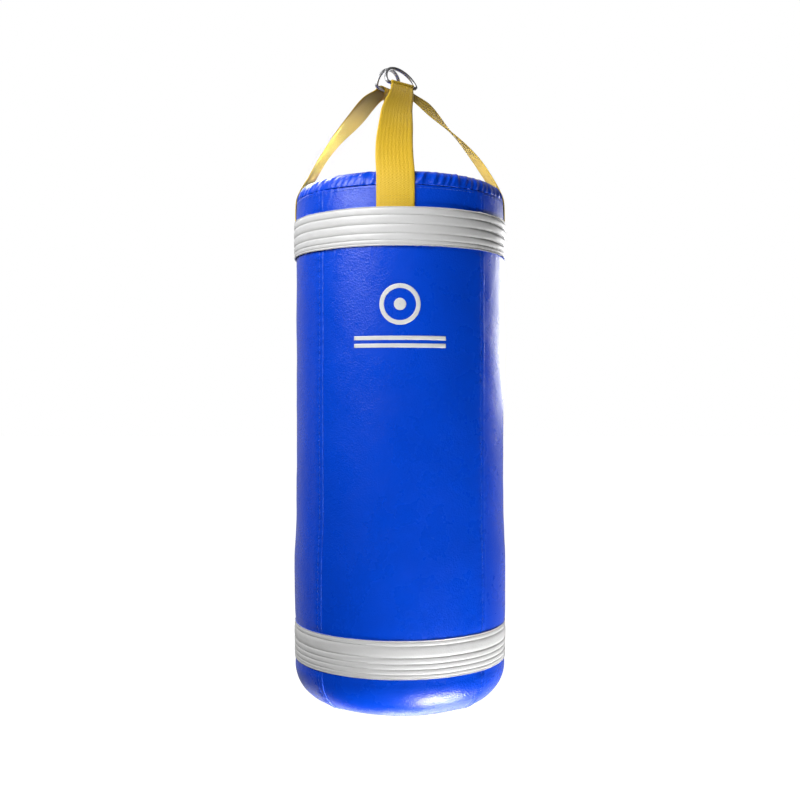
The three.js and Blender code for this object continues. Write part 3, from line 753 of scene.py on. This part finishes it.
def gathered_cap():
    """The cap with its puckers, and the stitches of the seam under it."""
    outline = cap_meridian()
    t = distance_along(outline)
    length = t[-1]
    shoulder = np.arange(4.8, length - 4, 1.5)
    fine = np.concatenate([np.linspace(0, 4, 6), shoulder, np.linspace(length - 4, length, 6)])
    r0, z0 = np.interp(fine, t, outline[:, 0]), np.interp(fine, t, outline[:, 1])
    slope = np.gradient(np.stack([r0, z0], axis=1), fine, axis=0)
    normal = np.stack([slope[:, 1], -slope[:, 0]], axis=1)
    normal /= np.linalg.norm(normal, axis=1, keepdims=True)
    azimuth = np.linspace(0, TURN, CAP_STEPS_ROUND, endpoint=False)[None, :]
    base = round_the_bag(r0[:, None], z0[:, None], azimuth)
    outward = round_the_bag(normal[:, :1], normal[:, 1:], azimuth) - np.array([AXIS_X, 0, 0])
    move = gather_by_cloth(base, outward, fine, azimuth)
    rise = (move * outward).sum(axis=2)
    too_high = np.maximum(rise - room_for_folds(azimuth, fine[:, None]), 0)
    points = (base + move - too_high[..., None] * outward)[::-1]
    unworn = np.zeros(points.shape[:2]).ravel()
    cap = add_grid("gathered_cap", points, BLUE, {"wear_and_painted_light": unworn}, wrap_cols=True)
    thicken(cap, SKIN)
    place(cap, "bag", "vinyl_blue", "top_cap")
    around = np.arange(0, TURN, STITCH_PITCH / R_BODY)
    s = arc_at(Z_TOP_SEAM - 3.5)
    here = skin_points(s, around, 0.1)
    ahead = skin_points(s, around + STITCH_LENGTH / R_BODY, 0.1)
    out = np.stack([np.sin(around), -np.cos(around), 0 * around], axis=1)
    stitches("top_seam_threads", here, ahead, out, BLUE_THREAD, "thread_blue")


# ---- Zipped top ----
ZIP_SEAM_INSET = 3.2
ZIP_STITCH_PITCH = 4.6
ZIP_STITCH_LENGTH = 3.6
TOOTH_PITCH = 2.5
TOOTH_HALF_LENGTH = 0.95
TOOTH_LEVELS = ((-1, 0.85), (-0.6, 1.0), (0.6, 1.0), (1, 0.85))  # height and width at each


def top_half(name, side):
    """Half of the top, domed a little by the fill, with a hem beside the zip."""
    edge_y = cad_mm(f"top_panel_{name}")[0 if side > 0 else 1][1] * side
    chain_end = cad_mm("zipper_tape_front")[1][0] - AXIS_X
    x = np.linspace(-R_TOP_PANEL, R_TOP_PANEL, 190)
    rim = np.sqrt(np.maximum(R_TOP_PANEL**2 - x**2, 0))
    inner = edge_y + (0.15 - edge_y) * smooth(np.abs(x), chain_end - 1, chain_end + 4)
    inner = np.minimum(inner, rim)
    ends = np.linspace(0, 0.04, 5), np.linspace(0.965, 1, 5)
    q = np.concatenate([ends[0], np.linspace(0.07, 0.95, 34), ends[1]])[:, None]
    y = inner[None, :] * (1 - q) + rim[None, :] * q
    from_zip = y - inner[None, :]
    radius = np.hypot(x[None, :], y)
    from_rim = R_TOP_PANEL - radius
    dome = 2.0 * smooth(from_rim, 0, 45) * smooth(from_zip, 2, 30)
    angle = np.arctan2(y, x[None, :])
    gathers = waves(2 * side * angle, from_rim, 41, (20, 34), (30, 90), 6)
    ripple = 0.4 * np.exp(-from_rim / 10) * gathers
    grooves = -0.3 * bell(from_zip - ZIP_SEAM_INSET, 0.9) - 0.3 * bell(from_rim - 5, 1.1)
    edges = 0.5 * (1 - smooth(from_zip, 4.5, 6.0)) - 0.8 * (1 - smooth(from_rim, 0, 1.6))
    loose = 0.25 * waves(angle, radius, 43, (1, 7), (50, 160)) * smooth(from_zip, 3, 12)
    z = Z_TOP + dome + ripple + grooves + edges + loose - 0.4
    points = np.stack([AXIS_X + np.broadcast_to(x[None, :], y.shape), side * y, z], axis=-1)
    # The fold of the hem beside the zip is lightened like the lap edges: rubbed edge and painted highlight.
    wear_and_painted_light = bell(from_zip - 0.3, 0.8)
    if side > 0:
        points, wear_and_painted_light = points[::-1], wear_and_painted_light[::-1]
    half = add_grid(f"top_half_{name}", points, BLUE, {"wear_and_painted_light": wear_and_painted_light.ravel()})
    thicken(half, SKIN)
    place(half, "bag", "vinyl_blue", f"top_panel_{name}")
    stitch_x = AXIS_X + np.arange(-chain_end + 2, chain_end - 4, ZIP_STITCH_PITCH)
    stitch_y = side * (edge_y + ZIP_SEAM_INSET)
    here = np.stack(np.broadcast_arrays(stitch_x, stitch_y, Z_TOP + 0.15), axis=1)
    ahead = here + np.array([ZIP_STITCH_LENGTH, 0, 0])
    up = np.tile([0.0, 0.0, 1.0], (len(here), 1))
    stitches(f"zip_threads_{name}", here, ahead, up, BLUE_THREAD, "thread_blue", 0.3, 0.3)


def zip_chain():
    """Interlocked moulded teeth, alternately from each tape."""
    low, high = cad_mm("zipper_chain")
    z_mid, rise = (low[2] + high[2]) / 2, 0.45 * (high[2] - low[2])
    outline = [(-1.0, -1.0), (0.55, -1.0), (1.0, -0.55), (1.0, 0.55), (0.55, 1.0), (-1.0, 1.0)]
    tooth = tube_faces(len(TOOTH_LEVELS), len(outline))
    corners, faces = [], []
    for i in range(int((high[0] - low[0]) / TOOTH_PITCH) - 1):
        side = 1 if i % 2 else -1
        x = low[0] + TOOTH_PITCH * (i + 1)
        faces += [[len(corners) + v for v in face[::-side]] for face in tooth]
        for level, shrink in TOOTH_LEVELS:
            for u, v in outline:
                y = side * high[1] * 0.5 * (1 - u * shrink)
                corners.append((x + v * shrink * TOOTH_HALF_LENGTH, y, z_mid + level * rise))
    chain = add_mesh("zip_teeth", corners, faces, ZIP_TEETH)
    place(chain, "bag", "zip_teeth", "zipper_chain")


def bevelled_copy(node_name, name, body, slot, material, width=0.35):
    """The CAD solid again, with its edges rounded."""
    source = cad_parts[node_name]
    obj = add_object(name, source.data.copy())
    obj.data.materials.clear()
    obj.data.materials.append(material)
    weld = obj.modifiers.new("weld", "WELD")
    weld.merge_threshold = 0.00001
    rounded = obj.modifiers.new("rounded", "BEVEL")
    rounded.width = width * MM
    rounded.segments = 3
    rounded.limit_method = "ANGLE"
    rounded.angle_limit = math.radians(35)
    place(obj, body, slot, node_name)


# ---- D-rings ----
RINGS = [  # turn and lean in degrees; fold and drift are the webbing's width and skew on the bar
    {"name": "front_right", "yaw": 42, "lean": 27, "side": 1, "fold": 42.0, "drift": 2.5},
    {"name": "back_left", "yaw": 55, "lean": 12, "side": -1, "fold": 36.0, "drift": 5.5},
]
WIRE = 4.8
RING_INNER_WIDTH = 51.4
RING_HEIGHT = 30.0
RING_CORNER = 4.0
RING_APART = 4.5
WIRE_LINE = RING_INNER_WIDTH / 2 + WIRE / 2  # radius of the arch, at the middle of the wire
WIRE_BUTT = 0.4
WIRE_SIDES = 28


def ring_outline():
    """The middle of the wire, from one side of the butt joint in the bar round to the other."""
    arc_middle = RING_HEIGHT - WIRE_LINE
    corner_x = math.sqrt((WIRE_LINE - RING_CORNER) ** 2 - (RING_CORNER - arc_middle) ** 2)
    corner_end = math.atan2(RING_CORNER - arc_middle, corner_x)
    bar = np.linspace(WIRE_BUTT / 2, corner_x, 24)
    corner = np.linspace(-math.pi / 2, corner_end, 18)[1:]
    arch = np.linspace(corner_end, math.pi - corner_end, 90)[1:-1]
    right = [(x, 0.0) for x in bar]
    for a in corner:
        right.append((corner_x + RING_CORNER * math.cos(a), RING_CORNER + RING_CORNER * math.sin(a)))
    top = [(WIRE_LINE * math.cos(a), arc_middle + WIRE_LINE * math.sin(a)) for a in arch]
    return np.array(right + top + [(-x, v) for x, v in right[::-1]])


def ring_frame(ring):
    """The middle of a ring's bar, and the directions along it, out from the bag and up the ring."""
    yaw, lean, side = math.radians(ring["yaw"]), math.radians(ring["lean"]), ring["side"]
    along = np.array([math.cos(yaw), math.sin(yaw), 0.0])
    outward = side * np.array([math.sin(yaw), -math.cos(yaw), 0.0])
    bar = outward * (RING_APART + RING_HEIGHT * math.sin(lean))
    bar[2] = WIRE / 2 - RING_HEIGHT * math.cos(lean)
    up = -outward * math.sin(lean) + np.array([0.0, 0.0, math.cos(lean)])
    return bar, along, outward, up


def d_ring(ring):
    """Bent wire whose two ends are welded in the middle of the bar."""
    bar, along, _, up = ring_frame(ring)
    flat = ring_outline()
    centre = bar + flat[:, :1] * along + flat[:, 1:] * up
    through = np.cross(along, up)
    tangent = np.gradient(centre, axis=0)
    tangent /= np.linalg.norm(tangent, axis=1, keepdims=True)
    side = np.cross(tangent, through)
    angle = np.linspace(0, TURN, WIRE_SIDES, endpoint=False)[None, :, None]
    weld = 1 + 0.10 * bell(np.abs(flat[:, 0]) + 30 * (flat[:, 1] > 1), 2.2)
    radius = (WIRE / 2 * weld)[:, None, None]
    verts = centre[:, None] + radius * (np.cos(angle) * side[:, None] + np.sin(angle) * through)
    faces = tube_faces(len(flat), WIRE_SIDES)
    name = ring["name"]
    obj = add_mesh(f"wire_ring_{name}", verts.reshape(-1, 3), faces, RING_STEEL)
    place(obj, f"ring_{name}", "ring_steel", f"d_ring_{name}")


# ---- Webbing straps ----
WEB_WIDTH = 50.8
WEB_THICKNESS = 1.6
EDGE_ROUND = 1.6
OUTER_DROP = 1.5  # how far each leg hangs straight down from the bar
INNER_DROP = 4.5
GATHER_LENGTH = 80.0  # along which the webbing, folded narrower on the bar, opens out
FOLD_RADIUS = WIRE / 2 + 0.3 + WEB_THICKNESS / 2
R_TAIL = 149.9  # middle of the webbing where it lies on the skin
TAIL_END = -262.0
LEG_LEVELS = [-42, -71, -100, -129, -158, -172.5]
CONTACT = [(147.8, -187), (149.2, -194), (149.7, -199), (R_TAIL, -207)]
TACK_LEVELS = [-209.5, -213.5, -217.5]
LEGS = {  # yaw is that of the webbing on the bag; spread and drift are taken at LEG_LEVELS
    "front": {
        "azimuth": -2.3, "yaw": -2.3, "twist": (0, 1),
        "spread": [35, 62, 88, 111, 131.5, 141],
        "drift": [4, -1, -2, -3, -2, -1],
    },
    "right": {
        "azimuth": 93, "yaw": 93, "twist": (0, 0.72),
        "spread": [29, 57, 87, 112, 131.5, 140.5],
        "drift": [3, 3, 2, 1, 0, 0],
    },
    "left": {
        "azimuth": -93, "yaw": 87, "twist": (0, 0.6),
        "spread": [41, 66, 92.5, 113.5, 130.5, 140.5],
        "drift": [4, 3, 2, 1, 0, 0],
    },
    "back": {
        "azimuth": 180, "yaw": 0, "twist": (0, 1),
        "spread": [27, 55, 85, 111, 131.5, 140.5],
        "drift": [12, 8, 5, 2, 1, 0],
    },
}


def spline(points, spacing):
    """A centripetal Catmull-Rom curve through points, sampled evenly."""
    points = np.asarray(points, float)
    points = np.concatenate([[2 * points[0] - points[1]], points, [2 * points[-1] - points[-2]]])
    fine = []
    for k in range(len(points) - 3):
        blends = points[k : k + 4]
        gaps = np.maximum(np.linalg.norm(np.diff(blends, axis=0), axis=1), 1e-6)
        knots = np.concatenate([[0], np.cumsum(np.sqrt(gaps))])
        t = np.linspace(knots[1], knots[2], 24, endpoint=False)[:, None]
        for spans in (((0, 1), (1, 2), (2, 3)), ((0, 2), (1, 3)), ((1, 2),)):
            shares = [(t - knots[i]) / (knots[j] - knots[i]) for i, j in spans]
            blends = [(1 - q) * a + q * b for q, a, b in zip(shares, blends, blends[1:])]
        fine.append(blends[0])
    fine = np.concatenate(fine + [points[-2:-1]])
    length = distance_along(fine)
    even = np.linspace(0, length[-1], max(2, int(length[-1] / spacing)) + 1)
    return np.stack([np.interp(even, length, fine[:, k]) for k in range(3)], axis=1), even


def leg_stations(leg, start, drop, ring):
    """Middle, yaw and width of the webbing from the bar down to its sewn tail."""
    azimuth = math.radians(leg["azimuth"])
    out = np.array([math.sin(azimuth), -math.cos(azimuth), 0])
    sideways = np.array([-out[1], out[0], 0])
    axis = np.array([AXIS_X, 0, 0])
    route = [start, start - np.array([0, 0, drop])]
    for z, spread, drift in zip(LEG_LEVELS, leg["spread"], leg["drift"]):
        route.append(axis + out * spread + sideways * drift + np.array([0, 0, z]))
    route += [axis + out * r + np.array([0, 0, z]) for r, z in CONTACT]
    free_length = spline(route, 2.0)[1][-1]
    route += [axis + out * R_TAIL + np.array([0, 0, z]) for z in (-225, -245, TAIL_END)]
    points, along = spline(route, 1.8)
    turn = smooth(along / free_length, *leg["twist"])
    yaw = np.radians(ring["yaw"] + (leg["yaw"] - ring["yaw"]) * turn)
    width = ring["fold"] + (WEB_WIDTH - ring["fold"]) * smooth(along, 0, GATHER_LENGTH)
    return {
        "points": points,
        "yaw": yaw,
        "width": width,
        "hug": smooth(-points[:, 2], 150, 200),  # how far the webbing bends round the bag
        "azimuth": np.full(len(points), azimuth),
    }


def ribbon(stations):
    """The webbing's middle surface: rows along it, columns across it."""
    points, yaw, azimuth = stations["points"], stations["yaw"], stations["azimuth"]
    u = np.linspace(-0.5, 0.5, 27)[None, :]
    offset = u * stations["width"][:, None]
    across = np.stack([np.cos(yaw), np.sin(yaw), 0 * yaw], axis=1)
    flat = points[:, None] + across[:, None] * offset[..., None]
    reach = np.hypot(points[:, 0] - AXIS_X, points[:, 1])[:, None]
    sideways = np.stack([np.cos(azimuth), np.sin(azimuth)], axis=1)
    sign = np.sign((sideways * across[:, :2]).sum(axis=1))[:, None]
    wrapped = round_the_bag(reach, points[:, 2:], azimuth[:, None] + sign * offset / np.maximum(reach, 60))
    hug = stations["hug"][:, None, None]
    return flat * (1 - hug) + wrapped * hug, u


def strap(name, ring, outer_name, inner_name):
    """One length of webbing, from a tail up over the ring's bar and down to the other tail."""
    bar, along, outward, _ = ring_frame(ring)
    turn = np.linspace(0, math.pi, 19)[:, None]
    centre = bar + outward * FOLD_RADIUS * np.cos(turn) + along * ring["drift"] * (2 * turn / math.pi - 1)
    centre = centre + np.array([0, 0, 1]) * FOLD_RADIUS * np.sin(turn)
    steps = len(centre)
    outer = leg_stations(LEGS[outer_name], centre[0], OUTER_DROP, ring)
    inner = leg_stations(LEGS[inner_name], centre[-1], INNER_DROP, ring)
    fold = {
        "points": centre,
        "yaw": np.full(steps, math.radians(ring["yaw"])),
        "width": np.full(steps, ring["fold"]),
        "hug": np.zeros(steps),
        "azimuth": np.full(steps, outer["azimuth"][0]),
    }
    stations = {key: np.concatenate([outer[key][:0:-1], fold[key], inner[key][1:]]) for key in fold}
    middle, u = ribbon(stations)
    d_along = np.gradient(middle, axis=0)
    d_across = np.gradient(middle, axis=1)
    normal = np.cross(d_along, d_across)
    normal /= np.linalg.norm(normal, axis=2, keepdims=True)
    run = distance_along(stations["points"])
    from_edge = WEB_WIDTH / 2 - np.abs(u) * WEB_WIDTH
    edge = np.clip(1 - from_edge / EDGE_ROUND, 0, 1)
    half = (WEB_THICKNESS / 2 * np.sqrt(np.maximum(1 - edge**2, 0.02)))[..., None]
    selvedge = 0.12 * bell(from_edge - 3.0, 1.0)[..., None]
    top = middle + normal * (half + selvedge)
    bottom = middle - normal * (half + selvedge)
    section = np.concatenate([top, bottom[:, ::-1]], axis=1)
    rows, cols = section.shape[:2]
    weave_u = np.concatenate([u, u[:, ::-1]], axis=1) * WEB_WIDTH
    weave = np.stack(np.broadcast_arrays(weave_u, run[:, None], np.zeros((rows, cols))), axis=-1)
    faces = tube_faces(rows, cols)
    weave = {"weave": weave.reshape(-1, 3)}
    obj = add_mesh(f"webbing_{name}", section.reshape(-1, 3), faces, WEBBING, weave)
    place(obj, "bag", "webbing_yellow", f"strap_{name}")
    for leg_name in (outer_name, inner_name):
        tack_rows(leg_name, math.radians(LEGS[leg_name]["azimuth"]))


def tack_rows(name, azimuth):
    """Rows of stitches across the webbing, just above the band that hides its tail."""
    here, ahead, out = [], [], []
    radius = R_TAIL + WEB_THICKNESS / 2 + 0.05
    for z in TACK_LEVELS:
        for u in np.arange(-WEB_WIDTH / 2 + 4, WEB_WIDTH / 2 - 6, 4.2):
            here.append(round_the_bag(radius, z, azimuth + u / radius))
            ahead.append(round_the_bag(radius, z, azimuth + (u + 3.0) / radius))
            out.append([math.sin(azimuth + u / radius), -math.cos(azimuth + u / radius), 0])
    stitches(f"tack_threads_{name}", here, ahead, out, YELLOW_THREAD, "webbing_yellow", 0.3, 0.3)


# ---- Printed emblem ----
EMBLEM_LINE = 6.0


def printed(name, outline_rows, node_name):
    """A film that follows the skin: outline_rows is a grid of (across, z) points."""
    rows = np.asarray(outline_rows, float)
    azimuth = rows[..., 0] / R_BODY
    top = skin_points(arc_at(rows[..., 1]), azimuth, 0.32)
    film = thicken(add_grid(name, top, PRINT), 0.3)
    place(film, "bag", "print_white", node_name)


def emblem():
    """A plain target with two stripes under it."""
    low, high = cad_mm("emblem_ring")
    dot_low, dot_high = cad_mm("emblem_dot")
    middle_z, outer, dot = (low[2] + high[2]) / 2, (high[2] - low[2]) / 2, (dot_high[2] - dot_low[2]) / 2
    turn = np.linspace(0, TURN, 121)[None, :]
    for name, r_in, r_out in (("ring", outer - EMBLEM_LINE, outer), ("dot", 0.4, dot)):
        r = np.linspace(r_in, r_out, 6)[:, None]
        rows = np.stack([r * np.sin(turn), middle_z + r * np.cos(turn)], axis=-1)[::-1]
        printed(f"print_{name}", rows, f"emblem_{name}")
    for part in ("upper", "lower"):
        low, high = cad_mm(f"emblem_stripe_{part}")
        half = (high[0] - low[0]) / 2
        x, z = np.meshgrid(np.linspace(-half, half, 60), np.linspace(high[2], low[2], 5))
        printed(f"print_stripe_{part}", np.stack([x, z], axis=-1), f"emblem_stripe_{part}")


# ---- Stage and light ----
def panel_light(name, place_m, target_m, size, radiance, spread=180):
    """A soft panel, given how bright its face looks, where 1 is as bright as white paper."""
    data = bpy.data.lights.new(name, "AREA")
    data.shape = "RECTANGLE"
    data.size, data.size_y = size
    data.energy = radiance * math.pi * size[0] * size[1]
    data.spread = math.radians(spread)
    light = add_object(name, data)
    light.location = place_m
    light.rotation_euler = (Vector(target_m) - Vector(place_m)).to_track_quat("-Z", "Y").to_euler()
    light.visible_camera = False


def room_light(tree):
    """How bright the room looks by direction: dim in front, grey behind, bright low behind."""
    split = node(tree, "ShaderNodeSeparateXYZ", {0: node(tree, "ShaderNodeTexCoord").outputs["Generated"]})
    back, height = split.outputs[1], split.outputs[2]
    grey = remap(tree, back, 0.22, 0.8, 0.004, 0.38)
    low = remap(tree, height, -0.38, -0.62, 0.0, 1.0)
    far = remap(tree, back, 0.35, 0.8, 0.0, 1.4)
    return calc(tree, "ADD", grey, calc(tree, "MULTIPLY", low, far))


def studio():
    """White surroundings that only the camera sees, a dim room for the light, and soft panels."""
    world = bpy.data.worlds.new("studio")
    scene.world = world
    world.use_nodes = True
    tree = world.node_tree
    tree.nodes.clear()
    seen = node(tree, "ShaderNodeLightPath").outputs["Is Camera Ray"]
    room = node(tree, "ShaderNodeBackground", {"Color": (1, 1, 1, 1), "Strength": room_light(tree)})
    white = node(tree, "ShaderNodeBackground", {"Color": (1, 1, 1, 1), "Strength": 1.0})
    mixed = node(tree, "ShaderNodeMixShader", {0: seen, 1: room.outputs[0], 2: white.outputs[0]})
    node(tree, "ShaderNodeOutputWorld", {"Surface": mixed.outputs[0]})

    glow = {"Emission_Color": (1, 1, 1, 1), "Emission_Strength": 1.0}
    material = new_material("floor", Base_Color=(0.9, 0.9, 0.9, 1), Roughness=1.0, **glow)[0]
    reach = 30000.0
    drop = Z_BASE - 700.0
    corners = [(-reach, -reach, drop), (reach, -reach, drop), (reach, reach, drop), (-reach, reach, drop)]
    floor = add_mesh("floor", corners, [[0, 1, 2, 3]], material)
    floor.visible_diffuse = floor.visible_glossy = floor.visible_shadow = False

    axis_x = AXIS_X * MM
    panel_light("key_left", (-0.93, -0.90, 0.56), (axis_x, 0, -0.3), (1.1, 1.1), 7.9)
    panel_light("fill_high", (-0.35, -1.30, 0.85), (axis_x, 0, -0.35), (1.0, 0.5), 4.6)
    panel_light("low_right", (0.84, -0.42, -2.59), (axis_x, 0, -1.37), (1.5, 1.1), 3.3, 45)
    panel_light("strip_right", (0.92, 1.18, -0.235), (axis_x, 0, -0.45), (1.05, 0.49), 5.2)
    panel_light("strap_right", (1.20, 0.45, -0.13), (-0.08, 0, -0.12), (0.08, 0.08), 3.2, 5)
    panel_light("strap_left", (-1.20, 0.45, -0.10), (0.118, 0, -0.14), (0.06, 0.06), 1.6, 4)
    panel_light("top_back_left", (-0.55, 1.06, 0.55), (axis_x, 0, -0.19), (0.55, 0.55), 13.0)
    panel_light("under_right", (0.33, -0.37, -1.49), (0.05, -0.12, -0.87), (0.4, 0.22), 5.5)
    panel_light("under_back", (0.16, 0.21, -1.48), (0.05, -0.12, -0.87), (0.5, 0.3), 4.5)
    scene.view_settings.view_transform = "Standard"


# ---- Build ----
for index in range(len(PANEL_NAMES)):
    side_panel(index)
seam_threads()
bottom_disc()
ribbed_band(
    "upper",
    upper_low[2],
    upper_high[2],
    R_BAND,
    grooves=[0.03, 0.215, 0.46, 0.70, 0.87, 0.97],
    depth=1.3,
    flatness=3.2,
    # Ribs pressed out, and grooves given painted shade, on the fullest side.
    fuller_and_shaded=1.3,
    seed=51,
)
ribbed_band(
    "lower",
    lower_low[2],
    lower_high[2],
    R_LOWER_BAND,
    grooves=[0.03, 0.14, 0.45, 0.61, 0.75, 0.89, 0.98],
    depth=1.2,
    flatness=3.0,
    fuller_and_shaded=0.0,
    seed=61,
)
gathered_cap()
top_half("front", -1)
top_half("back", 1)
zip_chain()
bevelled_copy("zipper_slider", "zip_slider", "slider", "zip_metal", ZIP_METAL)
bevelled_copy("zipper_pull", "zip_pull", "pull", "zip_metal", ZIP_METAL)
for end in ("left", "right"):
    bevelled_copy(f"zipper_stop_{end}", f"zip_stop_{end}", "bag", "zip_metal", ZIP_METAL)
for ring in RINGS:
    d_ring(ring)
strap("front_right", RINGS[0], "front", "right")
strap("back_left", RINGS[1], "left", "back")
emblem()
for name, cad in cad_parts.items():
    for start, look in CAD_LOOKS.items():
        if name.startswith(start):
            cad.data.materials.clear()
            cad.data.materials.append(look)
studio()
